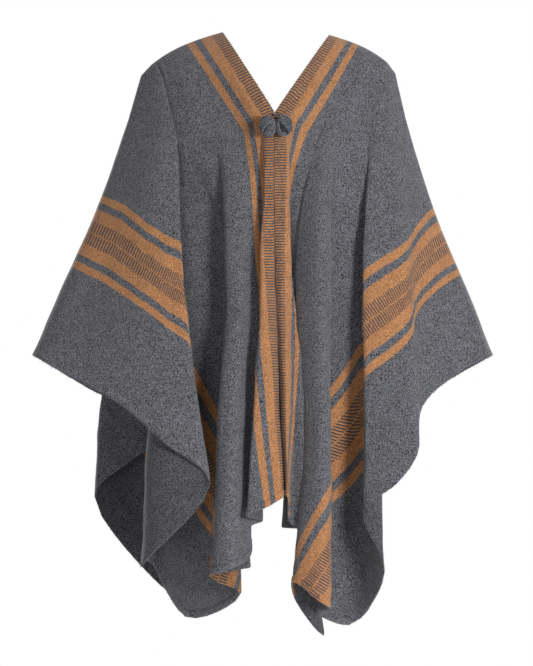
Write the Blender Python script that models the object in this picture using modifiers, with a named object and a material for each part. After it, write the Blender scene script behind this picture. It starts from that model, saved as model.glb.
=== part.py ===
"""Open-front Andean poncho: two woven woollen panels worn over the shoulders, tied by two pompoms.

Metres, +Z up, the front faces -Y. The origin lies between the two neck points, on the line
of the shoulders that carry the cloth. Each panel is one long strip of cloth that runs from
the front hem over the shoulder to the back hem. Its folds are given as fold lines: each one
leaves the shoulder line and ends on a hem or on the outer selvedge.
"""

import math
from collections import namedtuple

import bmesh
import bpy
import numpy as np

# Cloth, measured flat
HALF = 0.730  # inner edge to outer selvedge
DROP = 0.900  # shoulder line to hem
WALL = 0.0025

# Shoulder line of each side: the neck point and the shoulder tip
NECK_X = 0.097
TIP_ALONG = 0.142  # neck point to shoulder tip along the cloth
LEFT_NECK_Z = 0.005
RIGHT_NECK_Z = 0.0
LEFT_TIP = (0.226, -0.054)
RIGHT_TIP = (0.202, -0.050)

# Pompoms
BALL_WIDE = 0.0292
BALL_TALL = 0.0385
BALL_DEEP = 0.0300
BALL_Z = -0.173
BALL_Y = -0.1545
BALL_X = -0.0003  # middle of the pair
CORD_RADIUS = 0.0018

# Mesh
COLUMNS = 2  # between neighbouring fold lines
ROWS = 14  # from shoulder to hem

# A fold line: name; place on the shoulder and on the hem across the cloth; length along the
# cloth; lag of its drift across; then x, y where it has fallen 18%, 45% and 72%, and its foot.
Fold = namedtuple("Fold", "name s0 s1 t1 lag xa ya xb yb xc yc x y z")

LEFT_FRONT = (
    Fold("slit edge", 0, 0, DROP, 1, -.0038, -.131, -.0036, -.1605, .0033, -.1615, .013, -.165, -.828),
    Fold("crest one", .006, .024, DROP, 1, -.0105, -.1315, -.017, -.164, -.0065, -.1755, .009, -.18, -.833),
    Fold("band fold", .012, .0645, DROP, 1.8, -.0168, -.131, -.025, -.165, -.022, -.18, -.014, -.184, -.848),
    Fold("placket", .018, .11, DROP, 2.4, -.0225, -.129, -.0235, -.157, -.036, -.177, -.054, -.186, -.864),
    Fold("tuck one", .026, .15, DROP, 2.4, -.03, -.127, -.02, -.139, -.0252, -.135, -.0243, -.13, -.877),
    Fold("inner tuck", .05, .172, DROP, 2.6, -.045, -.119, -.0335, -.14, -.037, -.138, -.045, -.138, -.886),
    Fold("by placket", .075, .215, DROP, 3, -.061, -.11, -.0468, -.142, -.0486, -.144, -.0468, -.148, -.938),
    Fold("crest", .09, .25, DROP, 2.4, -.078, -.108, -.0648, -.158, -.0774, -.176, -.0864, -.188, -.961),
    Fold("column edge", .108, .285, DROP, 2, -.097, -.104, -.09, -.148, -.1026, -.16, -.1134, -.168, -.97),
    Fold("behind", .114, .355, DROP, 1.3, -.114, -.098, -.062, -.13, -.0594, -.137, -.045, -.14, -.959),
    Fold("edge two", .122, .45, DROP, 1, -.138, -.088, -.09, -.117, -.099, -.123, -.1206, -.128, -.976),
    Fold("hollow two", .128, .551, DROP, 1.2, -.15, -.083, -.08, -.106, -.085, -.111, -.0612, -.118, -1.006),
    Fold("corner", .131, HALF, DROP, 1.25, -.17, -.072, -.155, -.084, -.192, -.04, -.167, 0, -1.057),
    Fold("under wing", .134, HALF, .78, 1.2, -.176, -.067, -.19, -.07, -.214, -.02, -.226, .035, -.964),
    Fold("flap", .1355, HALF, .6, 1.1, -.179, -.067, -.2, -.102, -.227, -.128, -.234, -.148, -.95),
    Fold("wing edge", .137, HALF, .42, 1, -.181, -.072, -.169, -.128, -.148, -.158, -.117, -.184, -.808),
    Fold("wing fall 3", .139, HALF, .3, 1.07, -.198, -.065, -.198, -.12, -.194, -.15, -.2, -.172, -.736),
    Fold("wing fall 2", .14, HALF, .2, 1.12, -.213, -.055, -.229, -.103, -.248, -.13, -.277, -.15, -.67),
    Fold("wing fall 1", .141, HALF, .1, 1.04, -.238, -.035, -.272, -.068, -.311, -.092, -.356, -.115, -.628),
    Fold("arm line", .142, HALF, 0, 1.06, -.2664, -.005, -.314, -.02, -.3744, -.045, -.439, -.07, -.581),
)

LEFT_BACK = (
    Fold("back seam", 0, 0, DROP, 1, -.0008, .112, -.0008, .13, -.0008, .137, -.0008, .142, -.832),
    Fold("band edge", .026, .08, DROP, 1, -.028, .115, -.05, .13, -.065, .14, -.065, .152, -.85),
    Fold("ridge 1", .075, .15, DROP, 1, -.068, .114, -.09, .14, -.102, .158, -.1, .185, -.885),
    Fold("hollow 1", .09, .23, DROP, 1, -.088, .108, -.125, .122, -.126, .118, -.105, .104, -.905),
    Fold("ridge 2", .108, .32, DROP, 1, -.109, .104, -.16, .13, -.17, .148, -.15, .16, -.93),
    Fold("hollow 2", .114, .41, DROP, 1, -.128, .096, -.185, .108, -.19, .098, -.15, .082, -.95),
    Fold("ridge 3", .122, .52, DROP, 1, -.148, .086, -.205, .118, -.205, .135, -.185, .15, -.975),
    Fold("hollow 3", .128, .64, DROP, 1, -.168, .074, -.225, .085, -.22, .072, -.185, .06, -1),
    Fold("back corner", .131, HALF, DROP, .85, -.19, .06, -.26, .085, -.275, .095, -.185, .095, -1.03),
    Fold("back edge", .134, HALF, .5, 1, -.206, .05, -.28, .062, -.318, .066, -.332, .055, -.842),
    Fold("tuck", .137, HALF, .29, 1, -.21, .04, -.218, .04, -.212, .035, -.19, .022, -.718),
    Fold("back wing", .14, HALF, .14, 1, -.24, .028, -.272, .02, -.3, .005, -.325, -.025, -.65),
    Fold("arm line", .142, HALF, 0, 1.06, -.2664, -.005, -.314, -.02, -.3744, -.045, -.439, -.07, -.581),
)

RIGHT_FRONT = (
    Fold("slit edge", 0, 0, DROP, 1, -.0032, -.1275, -.0032, -.157, .0057, -.156, .016, -.1585, -.828),
    Fold("front crest", .006, .024, DROP, 1, .0055, -.129, .009, -.161, .0145, -.1745, .0205, -.186, -.833),
    Fold("front valley", .01, .095, DROP, 1.7, .015, -.129, .0234, -.158, .0315, -.152, .0275, -.148, -.882),
    Fold("ridge edge", .018, .148, DROP, 1.9, .0205, -.127, .0265, -.15, .0486, -.156, .054, -.16, -.888),
    Fold("under ridge", .026, .165, DROP, 2, .0265, -.124, .015, -.124, .029, -.115, .011, -.108, -.889),
    Fold("back fold", .045, .2, DROP, 2, .04, -.116, .019, -.116, .032, -.106, .05, -.098, -.889),
    Fold("trough", .065, .24, DROP, 2, .0555, -.107, .022, -.116, .04, -.103, .058, -.095, -.955),
    Fold("inner hem", .072, .3, DROP, 1.7, .061, -.105, .024, -.122, .044, -.112, .07, -.104, -1.035),
    Fold("hanging tip", .08, .36, DROP, 1.5, .067, -.102, .028, -.13, .048, -.13, .084, -.122, -1.082),
    Fold("inner band", .088, .4, DROP, 1.5, .073, -.101, .033, -.134, .052, -.14, .036, -.138, -1.02),
    Fold("column left", .095, .437, DROP, 1.4, .078, -.099, .038, -.141, .053, -.16, .031, -.168, -.983),
    Fold("column crest", .105, .5, DROP, 1.36, .088, -.101, .08, -.173, .0828, -.187, .0756, -.19, -1.015),
    Fold("column right", .112, .53, DROP, 1.36, .097, -.095, .0972, -.153, .0972, -.168, .0954, -.176, -1.03),
    Fold("behind column", .118, .68, DROP, 1.5, .107, -.086, .085, -.114, .07, -.106, .065, -.1, -1.04),
    Fold("front corner", .128, HALF, DROP, 1.2, .159, -.07, .146, -.096, .152, -.085, .133, -.078, -1.066),
    Fold("under wing", .134, HALF, .64, 1.2, .166, -.067, .173, -.098, .184, -.12, .193, -.17, -.965),
    Fold("wing edge", .137, HALF, .47, 1.11, .174, -.0655, .155, -.126, .1566, -.148, .155, -.152, -.862),
    Fold("wing middle", .138, HALF, .38, 1.1, .185, -.062, .19, -.122, .203, -.15, .216, -.17, -.808),
    Fold("wing ridge", .139, HALF, .28, 1.1, .198, -.054, .226, -.11, .24, -.144, .251, -.167, -.757),
    Fold("wing hollow", .141, HALF, .15, 1.2, .215, -.034, .243, -.076, .2535, -.112, .262, -.138, -.672),
    Fold("wing outer", .1415, HALF, .07, 1.2, .226, -.018, .26, -.05, .294, -.08, .326, -.11, -.614),
    Fold("arm line", .142, HALF, 0, 1.2, .234, -.005, .2754, -.02, .3312, -.045, .391, -.07, -.581),
)

RIGHT_BACK = (
    Fold("back seam", 0, 0, DROP, 1, .0008, .112, .0008, .13, .0008, .137, .0008, .142, -.832),
    Fold("band edge", .026, .08, DROP, 1, .028, .115, .05, .13, .062, .138, .062, .15, -.85),
    Fold("ridge 1", .08, .15, DROP, 1, .068, .113, .088, .148, .098, .172, .096, .19, -.89),
    Fold("hollow 1", .095, .23, DROP, 1, .088, .104, .11, .106, .108, .088, .088, .074, -.915),
    Fold("ridge 2", .105, .33, DROP, 1, .106, .1, .144, .134, .152, .156, .13, .17, -.945),
    Fold("hollow 2", .112, .43, DROP, 1, .124, .088, .158, .09, .154, .07, .114, .054, -.975),
    Fold("ridge 3", .118, .54, DROP, 1, .144, .078, .186, .104, .19, .118, .152, .13, -1.01),
    Fold("back corner", .128, HALF, DROP, 1, .166, .064, .2, .07, .2, .06, .134, .036, -1.05),
    Fold("back edge", .134, HALF, .56, 1, .182, .05, .206, .055, .202, .05, .19, .035, -.915),
    Fold("tuck", .137, HALF, .35, 1, .19, .036, .185, .034, .178, .028, .168, .01, -.78),
    Fold("back wing", .139, HALF, .17, 1, .208, .025, .23, .012, .235, -.002, .235, -.03, -.68),
    Fold("arm line", .142, HALF, 0, 1.2, .234, -.005, .2754, -.02, .3312, -.045, .391, -.07, -.581),
)

# Share of the length used where a fold line has fallen by each share of its height
STATIONS = np.array((0.0, 0.060, 0.209, 0.468, 0.730, 1.0))
FALLEN = np.array((0.0, 0.0374, 0.18, 0.45, 0.72, 1.0))
# How softly the bands bend from the V of the neck into the hanging front: left, right
TURN = (0.25, 0.7)


def clear_scene():
    """Remove every object."""
    for old in list(bpy.data.objects):
        bpy.data.objects.remove(old, do_unlink=True)


def fallen(u):
    """Share of the height fallen at this share of the length: level over the shoulder first."""
    return 1.04 * u * u / (u + 0.04)


def smooth_through(keys, values, at, leave=None):
    """Monotone cubic through the rows of values, leaving the first at a given slope if there is one."""
    gap = np.diff(keys)[:, None]
    slope = np.diff(values, axis=0) / gap
    tangent = np.zeros_like(values)
    tangent[0] = slope[0] if leave is None else leave
    tangent[-1] = slope[-1]
    for k in range(1, len(keys) - 1):
        before = 2 * gap[k] + gap[k - 1]
        after = gap[k] + 2 * gap[k - 1]
        same = slope[k - 1] * slope[k] > 0
        a = np.where(same, slope[k - 1], 1.0)
        b = np.where(same, slope[k], 1.0)
        tangent[k] = np.where(same, (before + after) / (before / a + after / b), 0.0)
    i = np.clip(np.searchsorted(keys, at, side="right") - 1, 0, len(keys) - 2)
    w = ((at - keys[i]) / (keys[i + 1] - keys[i]))[:, None]
    return hermite(w, values[i], values[i + 1], gap[i] * tangent[i], gap[i] * tangent[i + 1])


def hermite(w, start, end, leave, arrive):
    """Cubic from start to end with these end slopes."""
    return ((2 * w**3 - 3 * w**2 + 1) * start + (w**3 - 2 * w**2 + w) * leave
            + (3 * w**2 - 2 * w**3) * end + (w**3 - w**2) * arrive)


def shoulder_point(side, along):
    """Place on the shoulder line, neck point first."""
    f = along / TIP_ALONG
    neck_z = LEFT_NECK_Z if side < 0 else RIGHT_NECK_Z
    tip_x, tip_z = LEFT_TIP if side < 0 else RIGHT_TIP
    x = NECK_X + (tip_x - NECK_X) * f
    z = neck_z + (tip_z - neck_z) * (0.62 * f + 0.38 * f**3)
    return side * x, z


def fold_points(fold, side, us):
    """Points down one fold line."""
    x0, z0 = shoulder_point(side, fold.s0)
    round_tip = min(max((fold.s0 - 0.128) / (TIP_ALONG - 0.128), 0.0), 1.0)
    yoke = x0 + (0.208 + 0.25 * round_tip) * (fold.xa - x0)
    xs = np.array((x0, yoke, fold.xa, fold.xb, fold.xc, fold.x))
    ys = np.array((0.0, 0.45 * fold.ya, fold.ya, fold.yb, fold.yc, fold.y))
    upper = np.interp(fallen(us), FALLEN[:3], xs[:3])
    falling = (xs[2] - x0) / STATIONS[2]
    chord = (xs[3] - xs[2]) / (STATIONS[3] - STATIONS[2])
    soft = TURN[0 if side < 0 else 1] * min(1.0, fold.s0 / 0.02)
    leave = (1 - soft) * chord + soft * falling
    leave = math.copysign(min(abs(leave), 3 * abs(chord)), chord) if leave * chord > 0 else 0.0
    lower = smooth_through(STATIONS[2:], xs[2:, None], np.maximum(us, STATIONS[2]), leave)[:, 0]
    x = np.where(us < STATIONS[2], upper, lower)
    y = smooth_through(STATIONS, ys[:, None], us)[:, 0]
    z = z0 + (fold.z - z0) * fallen(us)
    return np.stack((x, y, z), 1)


def matched(table, tops):
    """The table's fold lines, taken at these places on the shoulder line."""
    keys = np.array([fold.s0 for fold in table])
    values = np.array([fold[1:] for fold in table])
    return [Fold("matched", *row) for row in smooth_through(keys, values, np.array(tops))]


def across_folds(points, columns):
    """A smooth line across neighbouring fold points, evenly spaced between each two."""
    reach = np.maximum(np.linalg.norm(np.diff(points, axis=0), axis=1), 1e-6) ** 0.5
    slope = np.diff(points, axis=0) / reach[:, None]
    tangent = np.empty_like(points)
    tangent[0] = slope[0]
    tangent[-1] = slope[-1]
    share = (reach[1:] / (reach[1:] + reach[:-1]))[:, None]
    tangent[1:-1] = slope[:-1] * share + slope[1:] * (1 - share)
    fine = np.linspace(0, 1, 13)[:, None]
    line = [points[0]]
    for i, h in enumerate(reach):
        piece = hermite(fine, points[i], points[i + 1], h * tangent[i], h * tangent[i + 1])
        arc = np.concatenate(((0.0,), np.cumsum(np.linalg.norm(np.diff(piece, axis=0), axis=1))))
        for k in range(1, columns + 1):
            at = arc[-1] * k / columns
            line.append(np.array([np.interp(at, arc, piece[:, axis]) for axis in range(3)]))
    return np.array(line)


def panel_grid(side, front, back):
    """Points of one panel: across from the front slit over the arm to the back seam, then down."""
    us = np.linspace(0, 1, ROWS + 1)
    tops = [fold.s0 for fold in front]
    folds = list(front) + list(reversed(matched(back, tops)[:-1]))
    lines = np.array([fold_points(fold, side, us) for fold in folds])
    return np.stack([across_folds(lines[:, j], COLUMNS) for j in range(ROWS + 1)], 1)


def plain_material(name, colour, roughness):
    """One Principled material."""
    material = bpy.data.materials.new(name)
    material.use_nodes = True
    shader = material.node_tree.nodes["Principled BSDF"]
    shader.inputs["Base Color"].default_value = (*colour, 1)
    shader.inputs["Roughness"].default_value = roughness
    return material


def add_object(name, mesh, material, collection):
    """Link a named object that carries this mesh and material."""
    made = bpy.data.objects.new(name, mesh)
    made.data.materials.append(material)
    collection.objects.link(made)
    return made


def woven_panel(name, side, front, back, collection):
    """One woven strip, front hem to back hem, as a wall of even thickness."""
    grid = panel_grid(side, front, back)
    across, down = grid.shape[:2]
    bm = bmesh.new()
    corner = [[bm.verts.new(point) for point in column] for column in grid]
    for i in range(across - 1):
        for j in range(down - 1):
            bm.faces.new((corner[i][j], corner[i][j + 1], corner[i + 1][j + 1], corner[i + 1][j]))
    bmesh.ops.remove_doubles(bm, verts=bm.verts[:], dist=0.00002)
    bmesh.ops.recalc_face_normals(bm, faces=bm.faces[:])
    bmesh.ops.triangulate(bm, faces=bm.faces[:])
    mesh = bpy.data.meshes.new(name)
    bm.to_mesh(mesh)
    bm.free()
    made = add_object(name, mesh, plain_material(name + "_wool", (0.10, 0.108, 0.125), 0.9), collection)
    wall = made.modifiers.new("wall", "SOLIDIFY")
    wall.thickness = WALL
    wall.offset = 0
    return made


def pompom(name, side, collection):
    """One wound yarn ball, leaning outwards a little at its foot."""
    bm = bmesh.new()
    bmesh.ops.create_uvsphere(bm, u_segments=28, v_segments=18, radius=0.5)
    for vert in bm.verts:
        lean = 0.06 * (0.5 - vert.co.z)
        vert.co.x = vert.co.x * BALL_WIDE + side * (BALL_WIDE * (0.51 + lean))
        vert.co.y *= BALL_DEEP
        vert.co.z *= BALL_TALL
    mesh = bpy.data.meshes.new(name)
    bm.to_mesh(mesh)
    bm.free()
    made = add_object(name, mesh, plain_material(name + "_yarn", (0.05, 0.055, 0.065), 0.95), collection)
    made.location = (BALL_X, BALL_Y, BALL_Z)
    return made


def clasp_cord(collection):
    """The short cord above the pompoms that ties the two front edges."""
    curve = bpy.data.curves.new("clasp_cord", "CURVE")
    curve.dimensions = "3D"
    curve.bevel_depth = CORD_RADIUS
    curve.bevel_resolution = 3
    curve.use_fill_caps = True
    path = curve.splines.new("BEZIER")
    path.bezier_points.add(2)
    places = ((-0.0085, -0.1352, -0.1500), (BALL_X, -0.1400, -0.1530), (0.0079, -0.1352, -0.1500))
    for point, place in zip(path.bezier_points, places):
        point.co = place
        point.handle_left_type = "AUTO"
        point.handle_right_type = "AUTO"
    made = bpy.data.objects.new("clasp_cord", curve)
    curve.materials.append(plain_material("clasp_cord_yarn", (0.04, 0.044, 0.052), 0.95))
    collection.objects.link(made)
    return made


def main():
    """Build the poncho."""
    clear_scene()
    collection = bpy.data.collections.new("andean_poncho")
    bpy.context.scene.collection.children.link(collection)
    woven_panel("left_panel", -1, LEFT_FRONT, LEFT_BACK, collection)
    woven_panel("right_panel", 1, RIGHT_FRONT, RIGHT_BACK, collection)
    pompom("pompom_left", -1, collection)
    pompom("pompom_right", 1, collection)
    clasp_cord(collection)


main()
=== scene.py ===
"""Open-front Andean poncho in charcoal wool with ochre bands, tied at the chest by two pompoms.

Each side is one woven strip that runs from the front hem over the shoulder to the back hem.
Its folds are given as fold lines that leave the shoulder line and end on a hem or a selvedge.
"""

import math
from collections import namedtuple

import bmesh
import bpy
import numpy as np
from mathutils import Matrix, Vector


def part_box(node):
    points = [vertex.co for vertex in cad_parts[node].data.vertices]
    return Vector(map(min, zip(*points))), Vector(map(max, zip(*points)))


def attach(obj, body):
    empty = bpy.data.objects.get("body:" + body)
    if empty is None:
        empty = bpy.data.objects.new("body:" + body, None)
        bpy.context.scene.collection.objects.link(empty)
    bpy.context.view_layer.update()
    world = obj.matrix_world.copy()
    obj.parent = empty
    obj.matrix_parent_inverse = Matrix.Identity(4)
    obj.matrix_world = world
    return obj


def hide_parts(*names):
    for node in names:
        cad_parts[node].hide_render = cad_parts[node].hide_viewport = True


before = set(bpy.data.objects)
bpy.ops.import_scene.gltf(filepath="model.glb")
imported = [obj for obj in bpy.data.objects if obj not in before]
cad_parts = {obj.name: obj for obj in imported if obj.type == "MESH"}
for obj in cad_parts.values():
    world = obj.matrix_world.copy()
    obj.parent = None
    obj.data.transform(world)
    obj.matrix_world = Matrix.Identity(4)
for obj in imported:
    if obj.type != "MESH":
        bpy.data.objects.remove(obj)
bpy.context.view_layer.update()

bl_info = {
    "name": "Andean Poncho",
    "version": (1, 0, 0),
    "blender": (4, 5, 0),
    "location": "3D View > Sidebar > Poncho",
    "description": "Builds an open-front striped wool poncho with a pompom clasp",
    "category": "Object",
}

# Cloth, measured flat
HALF = 0.730  # inner edge to outer selvedge
DROP = 0.900  # shoulder line to hem

# Shoulder line of each side: the neck point and the shoulder tip
NECK_X = 0.097
TIP_ALONG = 0.142
LEFT_NECK_Z = 0.005
RIGHT_NECK_Z = 0.0
LEFT_TIP = (0.226, -0.054)
RIGHT_TIP = (0.202, -0.050)

# Stripe edges, measured from the slit or from the middle of the side band
LADDER_HALF = 0.022
WIDE_OUT = 0.0445
GREY_OUT = 0.0575
NARROW_OUT = 0.0715
SIDE_BAND = 0.4795
MIDDLE_LINE = 0.0011  # half the ochre line down the middle of the side band
BAR_GAP = 0.47  # grey share of a ladder's pitch

# Unevenness of the weaving
ROW_SHIFT = 0.0011  # of one weft row
EDGE_DRIFT = 0.0022  # of a stripe edge, slowly along the cloth

# Turned hem, from its hidden edge to its loose one: rise above the fold, lift off the cloth,
# and place along the strip past the hem line
HEM_PROFILE = (
    (0.0002, 0.0, 0.0),
    (-0.0009, 0.0010, 0.0005),
    (0.0004, 0.0021, 0.001),
    (0.0035, 0.0022, 0.0035),
    (0.0070, 0.0021, 0.007),
    (0.0100, 0.0019, 0.010),
    (0.0112, 0.0014, 0.0112),
)
HEM_START = 0.0004  # past the hem line
HEM_REACH = 0.012  # a fold line that ends this near the full length ends on the hem

# Back seam: one stitch from its left end to its middle: distance out from the edge, height
# over the face, share of the slant, yarn radius
STITCH_ENDS = ((0.0030, -0.0004, 1.0, 0.0006), (0.0014, 0.0006, 0.6, 0.0009))
STITCH_MIDDLE = (0.0008, 0.0010)  # height over the face, yarn radius
STITCH_SLANT = 0.0013
SEAM_OPEN = 0.006  # edges further apart than this are not sewn

# Stage
FLOOR_RADIUS = 2.6
CAMERA_PLACE = (-0.0171, -7.08, -0.5418)
CAMERA_LENS = 210.2

# A fold line: name; place on the shoulder and on the hem across the cloth; length along the
# cloth; lag of its drift across; then x, y where it has fallen 18%, 45% and 72%, and its foot.
Fold = namedtuple("Fold", "name s0 s1 t1 lag xa ya xb yb xc yc x y z")

LEFT_FRONT = (
    Fold("slit edge", 0, 0, DROP, 1, -.0038, -.131, -.0036, -.1605, .0033, -.1615, .013, -.165, -.828),
    Fold("crest one", .006, .024, DROP, 1, -.0105, -.1315, -.017, -.164, -.0065, -.1755, .009, -.18, -.833),
    Fold("band fold", .012, .0645, DROP, 1.8, -.0168, -.131, -.025, -.165, -.022, -.18, -.014, -.184, -.848),
    Fold("placket", .018, .11, DROP, 2.4, -.0225, -.129, -.0235, -.157, -.036, -.177, -.054, -.186, -.864),
    Fold("tuck one", .026, .15, DROP, 2.4, -.03, -.127, -.02, -.139, -.0252, -.135, -.0243, -.13, -.877),
    Fold("inner tuck", .05, .172, DROP, 2.6, -.045, -.119, -.0335, -.14, -.037, -.138, -.045, -.138, -.886),
    Fold("by placket", .075, .215, DROP, 3, -.061, -.11, -.0468, -.142, -.0486, -.144, -.0468, -.148, -.938),
    Fold("crest", .09, .25, DROP, 2.4, -.078, -.108, -.0648, -.158, -.0774, -.176, -.0864, -.188, -.961),
    Fold("column edge", .108, .285, DROP, 2, -.097, -.104, -.09, -.148, -.1026, -.16, -.1134, -.168, -.97),
    Fold("behind", .114, .355, DROP, 1.3, -.114, -.098, -.062, -.13, -.0594, -.137, -.045, -.14, -.959),
    Fold("edge two", .122, .45, DROP, 1, -.138, -.088, -.09, -.117, -.099, -.123, -.1206, -.128, -.976),
    Fold("hollow two", .128, .551, DROP, 1.2, -.15, -.083, -.08, -.106, -.085, -.111, -.0612, -.118, -1.006),
    Fold("corner", .131, HALF, DROP, 1.25, -.17, -.072, -.155, -.084, -.192, -.04, -.167, 0, -1.057),
    Fold("under wing", .134, HALF, .78, 1.2, -.176, -.067, -.19, -.07, -.214, -.02, -.226, .035, -.964),
    Fold("flap", .1355, HALF, .6, 1.1, -.179, -.067, -.2, -.102, -.227, -.128, -.234, -.148, -.95),
    Fold("wing edge", .137, HALF, .42, 1, -.181, -.072, -.169, -.128, -.148, -.158, -.117, -.184, -.808),
    Fold("wing fall 3", .139, HALF, .3, 1.07, -.198, -.065, -.198, -.12, -.194, -.15, -.2, -.172, -.736),
    Fold("wing fall 2", .14, HALF, .2, 1.12, -.213, -.055, -.229, -.103, -.248, -.13, -.277, -.15, -.67),
    Fold("wing fall 1", .141, HALF, .1, 1.04, -.238, -.035, -.272, -.068, -.311, -.092, -.356, -.115, -.628),
    Fold("arm line", .142, HALF, 0, 1.06, -.2664, -.005, -.314, -.02, -.3744, -.045, -.439, -.07, -.581),
)

LEFT_BACK = (
    Fold("back seam", 0, 0, DROP, 1, -.0008, .112, -.0008, .13, -.0008, .137, -.0008, .142, -.832),
    Fold("band edge", .026, .08, DROP, 1, -.028, .115, -.05, .13, -.065, .14, -.065, .152, -.85),
    Fold("ridge 1", .075, .15, DROP, 1, -.068, .114, -.09, .14, -.102, .158, -.1, .185, -.885),
    Fold("hollow 1", .09, .23, DROP, 1, -.088, .108, -.125, .122, -.126, .118, -.105, .104, -.905),
    Fold("ridge 2", .108, .32, DROP, 1, -.109, .104, -.16, .13, -.17, .148, -.15, .16, -.93),
    Fold("hollow 2", .114, .41, DROP, 1, -.128, .096, -.185, .108, -.19, .098, -.15, .082, -.95),
    Fold("ridge 3", .122, .52, DROP, 1, -.148, .086, -.205, .118, -.205, .135, -.185, .15, -.975),
    Fold("hollow 3", .128, .64, DROP, 1, -.168, .074, -.225, .085, -.22, .072, -.185, .06, -1),
    Fold("back corner", .131, HALF, DROP, .85, -.19, .06, -.26, .085, -.275, .095, -.185, .095, -1.03),
    Fold("back edge", .134, HALF, .5, 1, -.206, .05, -.28, .062, -.318, .066, -.332, .055, -.842),
    Fold("tuck", .137, HALF, .29, 1, -.21, .04, -.218, .04, -.212, .035, -.19, .022, -.718),
    Fold("back wing", .14, HALF, .14, 1, -.24, .028, -.272, .02, -.3, .005, -.325, -.025, -.65),
    Fold("arm line", .142, HALF, 0, 1.06, -.2664, -.005, -.314, -.02, -.3744, -.045, -.439, -.07, -.581),
)

RIGHT_FRONT = (
    Fold("slit edge", 0, 0, DROP, 1, -.0032, -.1275, -.0032, -.157, .0057, -.156, .016, -.1585, -.828),
    Fold("front crest", .006, .024, DROP, 1, .0055, -.129, .009, -.161, .0145, -.1745, .0205, -.186, -.833),
    Fold("front valley", .01, .095, DROP, 1.7, .015, -.129, .0234, -.158, .0315, -.152, .0275, -.148, -.882),
    Fold("ridge edge", .018, .148, DROP, 1.9, .0205, -.127, .0265, -.15, .0486, -.156, .054, -.16, -.888),
    Fold("under ridge", .026, .165, DROP, 2, .0265, -.124, .015, -.124, .029, -.115, .011, -.108, -.889),
    Fold("back fold", .045, .2, DROP, 2, .04, -.116, .019, -.116, .032, -.106, .05, -.098, -.889),
    Fold("trough", .065, .24, DROP, 2, .0555, -.107, .022, -.116, .04, -.103, .058, -.095, -.955),
    Fold("inner hem", .072, .3, DROP, 1.7, .061, -.105, .024, -.122, .044, -.112, .07, -.104, -1.035),
    Fold("hanging tip", .08, .36, DROP, 1.5, .067, -.102, .028, -.13, .048, -.13, .084, -.122, -1.082),
    Fold("inner band", .088, .4, DROP, 1.5, .073, -.101, .033, -.134, .052, -.14, .036, -.138, -1.02),
    Fold("column left", .095, .437, DROP, 1.4, .078, -.099, .038, -.141, .053, -.16, .031, -.168, -.983),
    Fold("column crest", .105, .5, DROP, 1.36, .088, -.101, .08, -.173, .0828, -.187, .0756, -.19, -1.015),
    Fold("column right", .112, .53, DROP, 1.36, .097, -.095, .0972, -.153, .0972, -.168, .0954, -.176, -1.03),
    Fold("behind column", .118, .68, DROP, 1.5, .107, -.086, .085, -.114, .07, -.106, .065, -.1, -1.04),
    Fold("front corner", .128, HALF, DROP, 1.2, .159, -.07, .146, -.096, .152, -.085, .133, -.078, -1.066),
    Fold("under wing", .134, HALF, .64, 1.2, .166, -.067, .173, -.098, .184, -.12, .193, -.17, -.965),
    Fold("wing edge", .137, HALF, .47, 1.11, .174, -.0655, .155, -.126, .1566, -.148, .155, -.152, -.862),
    Fold("wing middle", .138, HALF, .38, 1.1, .185, -.062, .19, -.122, .203, -.15, .216, -.17, -.808),
    Fold("wing ridge", .139, HALF, .28, 1.1, .198, -.054, .226, -.11, .24, -.144, .251, -.167, -.757),
    Fold("wing hollow", .141, HALF, .15, 1.2, .215, -.034, .243, -.076, .2535, -.112, .262, -.138, -.672),
    Fold("wing outer", .1415, HALF, .07, 1.2, .226, -.018, .26, -.05, .294, -.08, .326, -.11, -.614),
    Fold("arm line", .142, HALF, 0, 1.2, .234, -.005, .2754, -.02, .3312, -.045, .391, -.07, -.581),
)

RIGHT_BACK = (
    Fold("back seam", 0, 0, DROP, 1, .0008, .112, .0008, .13, .0008, .137, .0008, .142, -.832),
    Fold("band edge", .026, .08, DROP, 1, .028, .115, .05, .13, .062, .138, .062, .15, -.85),
    Fold("ridge 1", .08, .15, DROP, 1, .068, .113, .088, .148, .098, .172, .096, .19, -.89),
    Fold("hollow 1", .095, .23, DROP, 1, .088, .104, .11, .106, .108, .088, .088, .074, -.915),
    Fold("ridge 2", .105, .33, DROP, 1, .106, .1, .144, .134, .152, .156, .13, .17, -.945),
    Fold("hollow 2", .112, .43, DROP, 1, .124, .088, .158, .09, .154, .07, .114, .054, -.975),
    Fold("ridge 3", .118, .54, DROP, 1, .144, .078, .186, .104, .19, .118, .152, .13, -1.01),
    Fold("back corner", .128, HALF, DROP, 1, .166, .064, .2, .07, .2, .06, .134, .036, -1.05),
    Fold("back edge", .134, HALF, .56, 1, .182, .05, .206, .055, .202, .05, .19, .035, -.915),
    Fold("tuck", .137, HALF, .35, 1, .19, .036, .185, .034, .178, .028, .168, .01, -.78),
    Fold("back wing", .139, HALF, .17, 1, .208, .025, .23, .012, .235, -.002, .235, -.03, -.68),
    Fold("arm line", .142, HALF, 0, 1.2, .234, -.005, .2754, -.02, .3312, -.045, .391, -.07, -.581),
)

# Share of the length used where a fold line has fallen by each share of its height
STATIONS = np.array((0.0, 0.060, 0.209, 0.468, 0.730, 1.0))
FALLEN = np.array((0.0, 0.0374, 0.18, 0.45, 0.72, 1.0))
# How softly the bands bend from the V of the neck into the hanging front: left, right
TURN = (0.25, 0.7)


def fallen(u):
    """Share of the height fallen at this share of the length: level over the shoulder first."""
    return 1.04 * u * u / (u + 0.04)


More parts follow.
